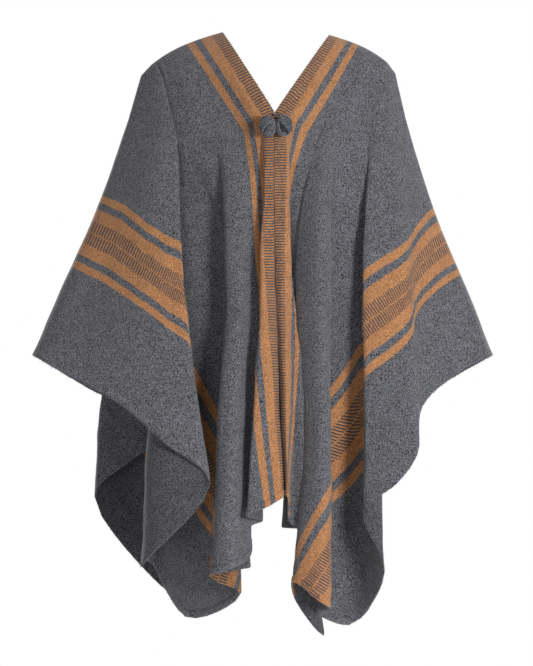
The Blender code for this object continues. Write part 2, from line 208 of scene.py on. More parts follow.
def smooth_through(keys, values, at, leave=None):
    """Monotone cubic through the rows of values, leaving the first at a given slope if there is one."""
    gap = np.diff(keys)[:, None]
    slope = np.diff(values, axis=0) / gap
    tangent = np.zeros_like(values)
    tangent[0] = slope[0] if leave is None else leave
    tangent[-1] = slope[-1]
    for k in range(1, len(keys) - 1):
        before = 2 * gap[k] + gap[k - 1]
        after = gap[k] + 2 * gap[k - 1]
        same = slope[k - 1] * slope[k] > 0
        a = np.where(same, slope[k - 1], 1.0)
        b = np.where(same, slope[k], 1.0)
        tangent[k] = np.where(same, (before + after) / (before / a + after / b), 0.0)
    i = np.clip(np.searchsorted(keys, at, side="right") - 1, 0, len(keys) - 2)
    w = ((at - keys[i]) / (keys[i + 1] - keys[i]))[:, None]
    return hermite(w, values[i], values[i + 1], gap[i] * tangent[i], gap[i] * tangent[i + 1])


def hermite(w, start, end, leave, arrive):
    """Cubic from start to end with these end slopes."""
    return ((2 * w**3 - 3 * w**2 + 1) * start + (w**3 - 2 * w**2 + w) * leave
            + (3 * w**2 - 2 * w**3) * end + (w**3 - w**2) * arrive)


def shoulder_point(side, along):
    """Place on the shoulder line, neck point first."""
    f = along / TIP_ALONG
    neck_z = LEFT_NECK_Z if side < 0 else RIGHT_NECK_Z
    tip_x, tip_z = LEFT_TIP if side < 0 else RIGHT_TIP
    x = NECK_X + (tip_x - NECK_X) * f
    z = neck_z + (tip_z - neck_z) * (0.62 * f + 0.38 * f**3)
    return side * x, z


def fold_points(fold, side, us):
    """Points down one fold line."""
    x0, z0 = shoulder_point(side, fold.s0)
    round_tip = min(max((fold.s0 - 0.128) / (TIP_ALONG - 0.128), 0.0), 1.0)
    yoke = x0 + (0.208 + 0.25 * round_tip) * (fold.xa - x0)
    xs = np.array((x0, yoke, fold.xa, fold.xb, fold.xc, fold.x))
    ys = np.array((0.0, 0.45 * fold.ya, fold.ya, fold.yb, fold.yc, fold.y))
    upper = np.interp(fallen(us), FALLEN[:3], xs[:3])
    falling = (xs[2] - x0) / STATIONS[2]
    chord = (xs[3] - xs[2]) / (STATIONS[3] - STATIONS[2])
    soft = TURN[0 if side < 0 else 1] * min(1.0, fold.s0 / 0.02)
    leave = (1 - soft) * chord + soft * falling
    leave = math.copysign(min(abs(leave), 3 * abs(chord)), chord) if leave * chord > 0 else 0.0
    lower = smooth_through(STATIONS[2:], xs[2:, None], np.maximum(us, STATIONS[2]), leave)[:, 0]
    x = np.where(us < STATIONS[2], upper, lower)
    y = smooth_through(STATIONS, ys[:, None], us)[:, 0]
    z = z0 + (fold.z - z0) * fallen(us)
    return np.stack((x, y, z), 1)


def matched(table, tops):
    """The table's fold lines, taken at these places on the shoulder line."""
    keys = np.array([fold.s0 for fold in table])
    values = np.array([fold[1:] for fold in table])
    return [Fold("matched", *row) for row in smooth_through(keys, values, np.array(tops))]


def across_folds(points, columns):
    """A smooth line across neighbouring fold points, evenly spaced between each two."""
    reach = np.maximum(np.linalg.norm(np.diff(points, axis=0), axis=1), 1e-6) ** 0.5
    slope = np.diff(points, axis=0) / reach[:, None]
    tangent = np.empty_like(points)
    tangent[0] = slope[0]
    tangent[-1] = slope[-1]
    share = (reach[1:] / (reach[1:] + reach[:-1]))[:, None]
    tangent[1:-1] = slope[:-1] * share + slope[1:] * (1 - share)
    fine = np.linspace(0, 1, 13)[:, None]
    line = [points[0]]
    for i, h in enumerate(reach):
        piece = hermite(fine, points[i], points[i + 1], h * tangent[i], h * tangent[i + 1])
        arc = np.concatenate(((0.0,), np.cumsum(np.linalg.norm(np.diff(piece, axis=0), axis=1))))
        for k in range(1, columns + 1):
            at = arc[-1] * k / columns
            line.append(np.array([np.interp(at, arc, piece[:, axis]) for axis in range(3)]))
    return np.array(line)


def panel_grid(side, front, back, columns, rows):
    """Points, place across and place along for one strip: columns by rows."""
    us = np.linspace(0, 1, rows + 1)
    tops = [fold.s0 for fold in front]
    folds = list(front) + list(reversed(matched(back, tops)[:-1]))
    lines = np.array([fold_points(fold, side, us) for fold in folds])
    points = np.stack([across_folds(lines[:, j], columns) for j in range(rows + 1)], 1)
    across = np.array([fold.s0 + (fold.s1 - fold.s0) * us**fold.lag for fold in folds])
    facing = [1 if i < len(front) else -1 for i in range(len(folds))]
    along = np.array([sign * fold.t1 * us for fold, sign in zip(folds, facing)])
    keys = np.arange(len(folds))
    fine = np.arange((len(folds) - 1) * columns + 1) / columns
    spread = np.array([[np.interp(fine, keys, part[:, j]) for j in range(rows + 1)]
                       for part in (across, along)])
    return points, spread[0].T, spread[1].T


def level_bars(points, across, along):
    """The place along each warp of the front band, so that its bars lie level below the V."""
    front = along[:, -1] > 0
    level = points[0, :, 2]
    fixed = along.copy()
    for i in np.where(front)[0]:
        near = np.clip((0.060 - across[i]) / 0.030, 0, 1)
        below = np.clip((-0.13 - points[i, :, 2]) / 0.08, 0, 1)
        same = np.interp(-points[i, :, 2], -level, along[0])
        over = np.maximum(level[-1] - points[i, :, 2], 0)
        same = same + over
        share = near * below
        fixed[i] = along[i] * (1 - share) + np.minimum(same, DROP) * share
    return fixed


def grid_normals(points):
    """Outward normal at each point of a grid."""
    du = np.gradient(points, axis=0)
    dv = np.gradient(points, axis=1)
    normal = np.cross(du, dv)
    length = np.linalg.norm(normal, axis=2, keepdims=True)
    return normal / np.maximum(length, 1e-12)


def soft_relief(across, along, seed):
    """Low uneven swells and dents of hanging wool, about one unit high."""
    rng = np.random.default_rng(seed)
    relief = np.zeros_like(across)
    for reach, height, count in ((0.22, 1.0, 7), (0.09, 0.45, 9), (0.035, 0.14, 12)):
        for _ in range(count):
            turn = rng.uniform(-0.9, 0.9)
            pitch = 2 * math.pi / (reach * rng.uniform(0.7, 1.4))
            phase = rng.uniform(0, 2 * math.pi)
            wave = np.sin(pitch * (across * math.cos(turn) + along * math.sin(turn)) + phase)
            relief += height * wave / math.sqrt(count)
    return relief


def mesh_from_grid(name, points, across, along, side, weld=True):
    """A quad mesh over a grid of points, with the flat cloth's metres as its UV map."""
    wide, down = points.shape[:2]
    index = np.arange(wide * down).reshape(wide, down)
    quads = np.stack((index[:-1, :-1], index[:-1, 1:], index[1:, 1:], index[1:, :-1]), -1).reshape(-1, 4)
    if side < 0:
        quads = quads[:, ::-1].copy()
    mesh = bpy.data.meshes.new(name)
    mesh.from_pydata(points.reshape(-1, 3).tolist(), [], quads.tolist())
    uv = mesh.uv_layers.new(name="cloth")
    flat = np.stack((across.reshape(-1), along.reshape(-1)), 1)
    uv.data.foreach_set("uv", flat[quads.reshape(-1)].astype(np.float32).reshape(-1))
    if weld:
        bm = bmesh.new()
        bm.from_mesh(mesh)
        bmesh.ops.remove_doubles(bm, verts=bm.verts[:], dist=0.00002)
        bm.to_mesh(mesh)
        bm.free()
    mesh.shade_smooth()
    return mesh


def mesh_from_bmesh(name, bm, smooth=True):
    """Turn a finished bmesh into a mesh."""
    mesh = bpy.data.meshes.new(name)
    bm.to_mesh(mesh)
    bm.free()
    if smooth:
        mesh.shade_smooth()
    return mesh


def link_piece(name, mesh, materials, node=None):
    """Link a piece, give it its materials and tie it to the frame."""
    piece = bpy.data.objects.new(name, mesh)
    for material in materials:
        mesh.materials.append(material)
    bpy.context.scene.collection.objects.link(piece)
    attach(piece, "root")
    if node:
        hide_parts(node)
    return piece


class Tree:
    """Short calls for building a material's nodes."""

    def __init__(self, name):
        self.material = bpy.data.materials.get(name) or bpy.data.materials.new(name)
        self.material.use_nodes = True
        self.nodes = self.material.node_tree.nodes
        self.links = self.material.node_tree.links
        self.nodes.clear()
        self.shader = self.add("ShaderNodeBsdfPrincipled")
        out = self.add("ShaderNodeOutputMaterial")
        self.links.new(self.shader.outputs[0], out.inputs[0])

    def add(self, kind, **settings):
        """Add a node."""
        node = self.nodes.new(kind)
        for key, value in settings.items():
            setattr(node, key, value)
        return node

    def put(self, socket, value):
        """Link a socket, or set its value."""
        if isinstance(value, bpy.types.NodeSocket):
            self.links.new(value, socket)
        elif isinstance(value, (tuple, list)) and len(value) == 3 and socket.type == "RGBA":
            socket.default_value = (*value, 1)
        else:
            socket.default_value = value

    def math(self, operation, a, b=0.0, c=0.0):
        """One sum or comparison."""
        node = self.add("ShaderNodeMath", operation=operation)
        for socket, value in zip(node.inputs, (a, b, c)):
            self.put(socket, value)
        return node.outputs[0]

    def mix(self, amount, a, b, blend="MIX"):
        """Mix two colours."""
        node = self.add("ShaderNodeMix", data_type="RGBA", blend_type=blend)
        self.put(node.inputs[0], amount)
        self.put(node.inputs[6], a)
        self.put(node.inputs[7], b)
        return node.outputs[2]

    def noise(self, vector, scale, detail=2.0, rough=0.5):
        """Cloudy noise."""
        node = self.add("ShaderNodeTexNoise")
        self.put(node.inputs["Vector"], vector)
        node.inputs["Scale"].default_value = scale
        node.inputs["Detail"].default_value = detail
        node.inputs["Roughness"].default_value = rough
        return node.outputs["Fac"]

    def joined(self, x, y, z=0.0):
        """One vector from three numbers."""
        node = self.add("ShaderNodeCombineXYZ")
        for socket, value in zip(node.inputs, (x, y, z)):
            self.put(socket, value)
        return node.outputs[0]

    def ranged(self, value, low, high, to_low=0.0, to_high=1.0):
        """Stretch a range to another, and cut it there."""
        node = self.add("ShaderNodeMapRange")
        for socket, number in zip(node.inputs, (value, low, high, to_low, to_high)):
            self.put(socket, number)
        return node.outputs[0]

    def bump(self, height, strength, distance):
        """Raise the surface by a height."""
        node = self.add("ShaderNodeBump")
        node.inputs["Strength"].default_value = strength
        node.inputs["Distance"].default_value = distance
        self.put(node.inputs["Height"], height)
        self.links.new(node.outputs[0], self.shader.inputs["Normal"])


def heather(tree, spot, colour, spread):
    """Wool colour that varies from fibre to fibre."""
    grain = tree.noise(spot, 1.0, 3.0, 0.7)
    blend = tree.ranged(grain, 0.44, 0.56)
    dark = tuple(c * (1 - spread) for c in colour)
    light = tuple(min(c * (1 + spread) + 0.012 * spread, 1.0) for c in colour)
    return tree.mix(blend, dark, light)


def woven_place(tree, s, t, weft_pitch):
    """Place across the strip with the small shifts of hand weaving, and the slow noise in it."""
    row = tree.math("FLOOR", tree.math("DIVIDE", t, weft_pitch))
    jitter = tree.add("ShaderNodeTexWhiteNoise", noise_dimensions="1D")
    tree.put(jitter.inputs["W"], row)
    step = tree.math("MULTIPLY", tree.math("SUBTRACT", jitter.outputs["Value"], 0.5), ROW_SHIFT)
    along = tree.joined(tree.math("MULTIPLY", s, 6.0), tree.math("MULTIPLY", t, 14.0))
    slow = tree.noise(along, 1.0)
    drift = tree.math("MULTIPLY", tree.math("SUBTRACT", slow, 0.5), EDGE_DRIFT)
    return tree.math("ADD", tree.math("ADD", s, step), drift), slow


def ochre_bands(tree, s, t, settings, reverse):
    """Where the ochre shows, and where the ladder bands run."""
    placed, slow = woven_place(tree, s, t, settings.weft_pitch)
    from_middle = tree.math("ABSOLUTE", tree.math("SUBTRACT", placed, SIDE_BAND))
    distance = tree.math("MINIMUM", tree.math("ABSOLUTE", placed), from_middle)

    def within(low, high):
        above = tree.math("GREATER_THAN", distance, low)
        below = tree.math("LESS_THAN", distance, high)
        return tree.math("MULTIPLY", above, below)

    stripes = tree.math("ADD", within(LADDER_HALF, WIDE_OUT), within(GREY_OUT, NARROW_OUT))
    ladder = tree.math("LESS_THAN", distance, LADDER_HALF)
    beyond = tree.math("GREATER_THAN", placed, SIDE_BAND)
    phase = tree.math("MULTIPLY", beyond, 0.5)
    wobble = tree.math("MULTIPLY", tree.math("SUBTRACT", slow, 0.5), 0.5)
    steady = tree.math("ADD", tree.math("DIVIDE", t, settings.ladder_pitch), phase)
    bar = tree.math("GREATER_THAN", tree.math("FRACT", tree.math("ADD", steady, wobble)), BAR_GAP)
    if reverse:
        bar = tree.math("SUBTRACT", 1.0, bar)
    turned = tree.math("GREATER_THAN", tree.math("ABSOLUTE", t), DROP + 0.0002)
    bar = tree.math("ABSOLUTE", tree.math("SUBTRACT", bar, turned))
    line = tree.math("LESS_THAN", from_middle, MIDDLE_LINE)
    bars = tree.math("MAXIMUM", tree.math("MULTIPLY", ladder, bar), line)
    return tree.math("MINIMUM", tree.math("ADD", stripes, bars), 1.0), ladder


def woven_wool(name, settings, reverse=False):
    """Warp-faced wool: charcoal ground, ochre stripes and barred ladder bands, with painted shade on the
    charcoal between the bars.
    """
    tree = Tree(name)
    uv = tree.add("ShaderNodeUVMap", uv_map="cloth")
    split = tree.add("ShaderNodeSeparateXYZ")
    tree.links.new(uv.outputs[0], split.inputs[0])
    ochre_mask, ladder = ochre_bands(tree, split.outputs[0], split.outputs[1], settings, reverse)

    place = tree.add("ShaderNodeTexCoord").outputs["Object"]
    parts = tree.add("ShaderNodeSeparateXYZ")
    tree.links.new(place, parts.inputs[0])
    x, y, z = parts.outputs
    a = tree.math("ADD", x, tree.math("MULTIPLY", y, 0.6))
    d = tree.math("ADD", z, tree.math("MULTIPLY", a, 0.4))
    spot = tree.joined(tree.math("MULTIPLY", x, 740.0), tree.math("MULTIPLY", y, 740.0),
                       tree.math("MULTIPLY", d, 560.0))
    # The reverse is dimmed: partly its own darker tone, partly painted shade for the shaded inside of the
    # garment.
    dim = settings.reverse_tone_and_painted_shade if reverse else 1.0
    charcoal = heather(tree, spot, tuple(c * dim for c in settings.charcoal), 0.95)
    # Painted shade: the charcoal between the ladder bars is darkened for the shadow beside the raised bars.
    painted_shade_between_bars = tuple(c * dim * 0.4 for c in settings.charcoal)
    charcoal = tree.mix(tree.math("MULTIPLY", ladder, 0.75), charcoal, painted_shade_between_bars)
    ochre = heather(tree, spot, tuple(c * dim for c in settings.ochre), 0.5)
    colour = tree.mix(ochre_mask, charcoal, ochre)
    broad = tree.noise(place, 38.0, 3.0)
    colour = tree.mix(1.0, colour, tree.ranged(broad, 0.25, 0.75, 0.90, 1.10), "MULTIPLY")
    tree.put(tree.shader.inputs["Base Color"], colour)

    warp = tree.math("ABSOLUTE", tree.math("SINE", tree.math("MULTIPLY", a, math.pi / settings.warp_pitch)))
    weft = tree.math("ABSOLUTE", tree.math("SINE", tree.math("MULTIPLY", d, math.pi / settings.weft_pitch)))
    weave = tree.math("ADD", tree.math("MULTIPLY", warp, 0.6), tree.math("MULTIPLY", weft, 0.4))
    nap = tree.noise(place, 800.0, 4.0, 0.7)
    tree.bump(tree.math("ADD", weave, tree.math("MULTIPLY", nap, 1.2)), 0.55, 0.0006)
    tree.shader.inputs["Roughness"].default_value = 0.92
    tree.shader.inputs["Sheen Weight"].default_value = 0.18
    tree.shader.inputs["Sheen Roughness"].default_value = 0.55
    tree.shader.inputs["Specular IOR Level"].default_value = 0.2
    return tree.material


def yarn_wool(name, colour, spread=0.4):
    """Twisted, brushed yarn."""
    tree = Tree(name)
    spot = tree.add("ShaderNodeTexCoord").outputs["Object"]
    fibres = tree.noise(spot, 620.0, 3.0, 0.7)
    dark = tuple(c * (1 - spread) for c in colour)
    light = tuple(c * (1 + spread) for c in colour)
    tree.put(tree.shader.inputs["Base Color"], tree.mix(tree.ranged(fibres, 0.4, 0.62), dark, light))
    tree.bump(fibres, 0.8, 0.0007)
    tree.shader.inputs["Roughness"].default_value = 0.95
    tree.shader.inputs["Sheen Weight"].default_value = 0.2
    tree.shader.inputs["Specular IOR Level"].default_value = 0.15
    return tree.material


# Name: sign of x, front and back folds, seed of the relief
SIDES = {
    "left": (-1, LEFT_FRONT, LEFT_BACK, 11),
    "right": (1, RIGHT_FRONT, RIGHT_BACK, 23),
}
GRIDS = {}


def cloth_grid(name, settings):
    """The fine grid of one side with its relief, made once."""
    if name not in GRIDS:
        side, front, back, seed = SIDES[name]
        points, across, along = panel_grid(side, front, back, settings.columns, settings.rows)
        outward = -side * grid_normals(points)
        free = np.clip((np.abs(along) + across * 0.2) / 0.25, 0, 1)
        relief = soft_relief(across, along, seed) * free * settings.relief
        points = points + outward * relief[:, :, None]
        along = level_bars(points, across, along)
        GRIDS[name] = (points, across, along, -side * grid_normals(points))
    return GRIDS[name]


def woven_panel(name, settings):
    """One woven strip, front hem to back hem."""
    points, across, along, _ = cloth_grid(name, settings)
    mesh = mesh_from_grid(name + "_cloth", points, across, along, SIDES[name][0])
    face = woven_wool("woven_wool", settings)
    reverse = woven_wool("woven_wool_reverse", settings, reverse=True)
    node = name + "_panel"
    piece = link_piece(name + "_cloth", mesh, (face, reverse), node)
    wall = piece.modifiers.new("wall", "SOLIDIFY")
    wall.thickness = settings.thickness
    wall.offset = 0
    wall.material_offset = 1
    wall.material_offset_rim = 0


def yarn_strand(bm, turn, bow, lift, thick):
    """One three-ply strand from pole to pole of a ball of radius one."""
    steps = 17
    middle_line = []
    for j in range(steps):
        fall = math.pi * (0.03 + 0.94 * j / (steps - 1))
        spin = turn + bow * math.sin(fall)
        flat = math.sin(fall)
        middle_line.append(Vector((flat * math.cos(spin), flat * math.sin(spin), math.cos(fall))) * lift)
    swell = [thick * (0.35 + 0.65 * math.sin(math.pi * (j + 0.5) / steps)) for j in range(steps)]
    for ply in range(3):
        path = []
        for j, point in enumerate(middle_line):
            ahead = middle_line[min(j + 1, steps - 1)] - middle_line[max(j - 1, 0)]
            out = point.normalized()
            across = ahead.cross(out).normalized()
            twist = 2 * math.pi * (ply / 3 + 0.16 * j)
            path.append(point + (out * math.cos(twist) + across * math.sin(twist)) * swell[j] * 0.58)
        sweep(bm, path, [size * 0.52 for size in swell], 6)


def pompom(name, side, settings):
    """A ball of thick yarn strands that leave the knot at its inner top and close below, round a dark core
    ball that is painted shade.
    """
    low, high = (Vector(corner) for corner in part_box(name))
    middle = (low + high) / 2
    half = (high - low) / 2
    middle.x -= side * 0.001
    half.x += 0.001
    rng = np.random.default_rng(7 if side < 0 else 8)
    tilt = Matrix.Rotation(side * math.radians(-40), 3, "Y") @ Matrix.Rotation(math.radians(24), 3, "X")
    bm = bmesh.new()
    # Painted shade: the inner ball gets a dark material that stands in for the shade deep between the
    # strands.
    bmesh.ops.create_uvsphere(bm, u_segments=32, v_segments=20, radius=0.70)
    for face in bm.faces:
        face.material_index = 1
    for count, shell in ((9, 0.78), (11, 0.86)):
        for k in range(count):
            turn = 2 * math.pi * (k + rng.uniform(-0.22, 0.22)) / count
            bow = rng.uniform(-0.5, 0.5)
            lift = shell + rng.uniform(-0.03, 0.03)
            thick = settings.strand * rng.uniform(0.85, 1.15) / half.x
            yarn_strand(bm, turn, bow, lift, thick)
    placed = np.array([tilt @ vert.co for vert in bm.verts])
    across = placed[:, 0]
    placed[:, 0] = np.where(across * side < 0, np.sign(across) * abs(across) ** 0.78, across)
    placed = 2 * (placed - placed.min(0)) / (placed.max(0) - placed.min(0)) - 1
    for vert, (x, y, z) in zip(bm.verts, placed):
        vert.co = middle + Vector((x * half.x, y * half.y, z * half.z))
    hairs(bm, middle, half, rng, settings)
    mesh = mesh_from_bmesh(name + "_yarn", bm)
    outer = yarn_wool("pompom_yarn", tuple(settings.yarn), 0.9)
    # Painted shade: a quarter-bright yarn colour for the core ball.
    inner = yarn_wool("pompom_painted_shade_core", tuple(c * 0.25 for c in settings.yarn))
    link_piece(name + "_yarn", mesh, (outer, inner), name)


def hairs(bm, middle, half, rng, settings):
    """Short loose hairs standing off the brushed yarn."""
    for _ in range(settings.hairs):
        out = Vector(rng.normal(0, 1, 3)).normalized()
        root = middle + Vector((out.x * half.x, out.y * half.y, out.z * half.z)) * 0.93
        heading = (out + Vector(rng.normal(0, 0.5, 3))).normalized()
        tip = root + heading * rng.uniform(0.001, 0.0022)
        blade = heading.cross(Vector((0.2, -0.9, 0.4))).normalized() * 0.00008
        bm.faces.new((bm.verts.new(root - blade), bm.verts.new(root + blade), bm.verts.new(tip)))


def sweep(bm, path, radii, sides):
    """A closed tube along a path."""
    rings = []
    for k, point in enumerate(path):
        ahead = path[min(k + 1, len(path) - 1)] - path[max(k - 1, 0)]
        ahead.normalize()
        across = ahead.cross(Vector((0.31, 0.52, 0.79)))
        across.normalize()
        up = ahead.cross(across)
        ring = []
        for j in range(sides):
            turn = 2 * math.pi * j / sides
            ring.append(bm.verts.new(point + (across * math.cos(turn) + up * math.sin(turn)) * radii[k]))
        rings.append(ring)
    for a, b in zip(rings, rings[1:]):
        for j in range(sides):
            bm.faces.new((a[j], a[(j + 1) % sides], b[(j + 1) % sides], b[j]))
    bm.faces.new(list(reversed(rings[0])))
    bm.faces.new(rings[-1])


def clasp_cord(settings):
    """The twisted cord that ties the front edges above the pompoms."""
    low, high = (Vector(corner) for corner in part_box("clasp_cord"))
    bm = bmesh.new()
    for strand in range(3):
        path = []
        for j in range(41):
            f = j / 40
            turn = f * math.pi * 7 + strand * 2 * math.pi / 3
            arch = math.sin(math.pi * f)
            core = Vector((low.x + 0.002 + (high.x - low.x - 0.004) * f,
                           high.y - 0.002 - (high.y - low.y - 0.004) * arch,
                           high.z - 0.002 - (high.z - low.z - 0.004) * arch))
            path.append(core + Vector((0, math.cos(turn), math.sin(turn))) * 0.0008)
        sweep(bm, path, [0.00085] * 41, 6)
    mesh = mesh_from_bmesh("clasp_cord_twist", bm)
    material = yarn_wool("clasp_cord_wool", tuple(c * 0.6 for c in settings.yarn), 0.4)
    link_piece("clasp_cord_twist", mesh, (material,), "clasp_cord")


def turned_hem(name, settings):
    """The hem turned up on the face along the bottom of the strip, front and back."""
    points, across, along, outward = cloth_grid(name, settings)
    foot_is_hem = np.abs(np.abs(along[:, -1]) - DROP) < HEM_REACH
    for part, sign in (("front", 1), ("back", -1)):
        use = np.where(foot_is_hem & (np.sign(along[:, -1]) == sign))[0]
        column = points[use]
        normal = outward[use, -1]
        step = np.linalg.norm(column[:, -1] - column[:, -2], axis=1)
        fall = column[:, -1] - column[:, -3]
        down = fall / np.linalg.norm(fall, axis=1)[:, None]
        rows = []
        for rise, lift, _ in HEM_PROFILE:
            back = rise / np.maximum(step, 1e-6)
            rows_from = points.shape[1] - 1 - np.clip(back, 0, points.shape[1] - 2)
            whole = np.floor(rows_from).astype(int)
            whole = np.minimum(whole, points.shape[1] - 2)
            part_way = (rows_from - whole)[:, None]
            place = column[np.arange(len(use)), whole] * (1 - part_way) \
                + column[np.arange(len(use)), whole + 1] * part_way
            if rise < 0:
                place = place - down * rise
            rows.append(place + normal * lift)
        strip = np.stack(rows, 1)
        spread = np.repeat(across[use, -1][:, None], len(rows), 1)
        climb = np.array([past for _, _, past in HEM_PROFILE]) + DROP + HEM_START
        length = np.repeat(sign * climb[None, :], len(use), 0)
        label = name + "_" + part + "_hem"
        mesh = mesh_from_grid(label, strip, spread, length, SIDES[name][0], weld=False)
        piece = link_piece(label, mesh, (woven_wool("woven_wool", settings),), None)
        wall = piece.modifiers.new("wall", "SOLIDIFY")
        wall.thickness = settings.thickness * 0.8
        wall.offset = 0


def seam_stitches(settings):
    """The hand stitches that join the two strips down the middle of the back."""
    edges = [cloth_grid(name, settings)[0][-1][::-1] for name in SIDES]
    heights = np.arange(edges[0][0, 2] + 0.004, 0, settings.stitch_pitch)
    left, right = (np.array([[np.interp(z, edge[:, 2], edge[:, k]) for k in range(3)] for z in heights])
                   for edge in edges)
    face = Vector((0, settings.thickness * 0.5, 0))
    ends = [radius for _, _, _, radius in STITCH_ENDS]
    radii = ends + [STITCH_MIDDLE[1]] + ends[::-1]
    bm = bmesh.new()
    for k, (a, b) in enumerate(zip(left, right)):
        if abs(a[0] - b[0]) > SEAM_OPEN:
            break
        slant = STITCH_SLANT if k % 2 else -STITCH_SLANT
        a, b = Vector(a) + face, Vector(b) + face
        path = [a + Vector((-out, lift, slant * share)) for out, lift, share, _ in STITCH_ENDS]
        path.append((a + b) / 2 + Vector((0, STITCH_MIDDLE[0], 0)))
        path += [b + Vector((out, lift, -slant * share)) for out, lift, share, _ in STITCH_ENDS[::-1]]
        sweep(bm, path, radii, 6)
    mesh = mesh_from_bmesh("back_seam_stitches", bm)
    yarn = yarn_wool("seam_yarn", tuple(c * 0.85 for c in settings.ochre))
    link_piece("back_seam_stitches", mesh, (yarn,), None)


def edge_fibres(name, settings):
    """Loose wool fibres along the hems, the selvedge and the slit."""
    points, _, _, outward = cloth_grid(name, settings)
    rng = np.random.default_rng(31 if name == "left" else 32)
    bm = bmesh.new()
    edges = [(points[:, -1], points[:, -4], outward[:, -1], 900),
             (points[0], points[2], outward[0], 350)]
    for line, inner, normal, per_metre in edges:
        gaps = np.linalg.norm(np.diff(line, axis=0), axis=1)
        reach = np.concatenate(((0.0,), np.cumsum(gaps)))
        for at in np.sort(rng.uniform(0, reach[-1], int(reach[-1] * per_metre))):
            k = min(int(np.searchsorted(reach, at)), len(line) - 1)
            j = max(k - 1, 0)
            w = (at - reach[j]) / max(reach[k] - reach[j], 1e-9)
            root = Vector(line[j] * (1 - w) + line[k] * w)
            out = Vector(line[k] - inner[k]).normalized()
            side = Vector(normal[k])
            tangent = Vector(line[k] - line[j]).normalized()
            lean = rng.normal(0, 0.7, 2)
            heading = (out + tangent * lean[0] + side * lean[1] * 0.6).normalized()
            length = rng.uniform(0.0012, 0.0042) * (2.0 if rng.uniform() < 0.05 else 1.0)
            bend = Vector(rng.normal(0, 0.35, 3))
            width = 0.00013
            blade = heading.cross(Vector((0.1, -0.9, 0.3))).normalized() * width
            mid = root + heading * length * 0.5
            tip = root + (heading + bend * 0.8).normalized() * length - Vector((0, 0, length * 0.15))
            foot = root - out * 0.0008
            places = (foot - blade, foot + blade, mid + blade, mid - blade, tip)
            corners = [bm.verts.new(place) for place in places]
            bm.faces.new(corners[:4])
            bm.faces.new((corners[3], corners[2], corners[4]))
    mesh = mesh_from_bmesh(name + "_edge_fibres", bm, smooth=False)
    material = yarn_wool("loose_fibre", tuple(c * 1.1 for c in settings.charcoal), 0.3)
    link_piece(name + "_edge_fibres", mesh, (material,), None)


class PonchoCloth(bpy.types.PropertyGroup):
    """Sizes and colours of the cloth."""

    charcoal: bpy.props.FloatVectorProperty(
        name="Charcoal", description="Ground colour of the wool", subtype="COLOR", size=3,
        min=0, max=1, default=(0.112, 0.114, 0.128))
    ochre: bpy.props.FloatVectorProperty(
        name="Ochre", description="Colour of the stripes", subtype="COLOR", size=3,
        min=0, max=1, default=(0.43, 0.20, 0.085))
    # Dimming of the reverse: partly its own darker tone, partly painted shade for the shaded inside of the
    # garment.
    reverse_tone_and_painted_shade: bpy.props.FloatProperty(
        name="Reverse Shade", description="How dark the unbrushed reverse is beside the face",
        min=0.2, max=1, default=0.68)
    thickness: bpy.props.FloatProperty(
        name="Thickness", description="Thickness of the woven cloth", unit="LENGTH",
        min=0.0005, max=0.003, precision=4, default=0.0019)
    relief: bpy.props.FloatProperty(
        name="Relief", description="Height of the soft swells in the hanging cloth", unit="LENGTH",
        min=0, max=0.006, precision=4, default=0.0016)
    ladder_pitch: bpy.props.FloatProperty(
        name="Ladder Pitch", description="Distance from bar to bar in the ladder bands", unit="LENGTH",
        min=0.002, max=0.02, precision=4, default=0.0051)
    stitch_pitch: bpy.props.FloatProperty(
        name="Stitch Pitch", description="Distance between the stitches of the back seam", unit="LENGTH",
        min=0.002, max=0.02, precision=4, default=0.0045)
    weft_pitch: bpy.props.FloatProperty(
        name="Weft Pitch", description="Distance from weft to weft", unit="LENGTH",
        min=0.0005, max=0.005, precision=4, default=0.0017)
    warp_pitch: bpy.props.FloatProperty(
        name="Warp Pitch", description="Distance from warp yarn to warp yarn", unit="LENGTH",
        min=0.0005, max=0.005, precision=4, default=0.0014)
    columns: bpy.props.IntProperty(
        name="Columns", description="Mesh columns between neighbouring fold lines", min=2, max=12, default=6)
    rows: bpy.props.IntProperty(
        name="Rows", description="Mesh rows from shoulder to hem", min=18, max=240, default=150)


class PonchoClasp(bpy.types.PropertyGroup):
    """Sizes and colours of the pompom clasp."""

    yarn: bpy.props.FloatVectorProperty(
        name="Yarn", description="Colour of the pompom yarn", subtype="COLOR", size=3,
        min=0, max=1, default=(0.135, 0.140, 0.158))
    strand: bpy.props.FloatProperty(
        name="Strand", description="Radius of one yarn strand", unit="LENGTH",
        min=0.0002, max=0.005, precision=4, default=0.0029)
    hairs: bpy.props.IntProperty(
        name="Hairs", description="Loose hairs on each pompom", min=0, max=4000, default=700)


class PonchoStage(bpy.types.PropertyGroup):
    """Studio round the poncho."""

    ground: bpy.props.FloatProperty(
        name="Ground", description="Height of the floor below the shoulders", unit="LENGTH", default=-1.95)
    key: bpy.props.FloatProperty(
        name="Key Light", description="Strength of the main lamp", unit="POWER", min=0, default=128.0)
    fill: bpy.props.FloatProperty(
        name="Fill Light", description="Strength of the side lamp", unit="POWER", min=0, default=20.0)
    rear: bpy.props.FloatProperty(
        name="Rear Light", description="Strength of each lamp behind the poncho", unit="POWER",
        min=0, default=105.0)
    sky: bpy.props.FloatProperty(
        name="Room Light", description="Strength of the light from all round", min=0, default=0.125)


class PONCHO_OT_panels(bpy.types.Operator):
    """Build the two woven strips"""

    bl_idname = "poncho.panels"
    bl_label = "Woven Panels"

    def execute(self, context):
        for name in SIDES:
            woven_panel(name, context.scene.poncho_cloth)
        return {"FINISHED"}


class PONCHO_OT_hems(bpy.types.Operator):
    """Build the turned-up hems of both strips and the stitches of the back seam"""

    bl_idname = "poncho.hems"
    bl_label = "Turned Hems"

    def execute(self, context):
        for name in SIDES:
            turned_hem(name, context.scene.poncho_cloth)
        seam_stitches(context.scene.poncho_cloth)
        return {"FINISHED"}


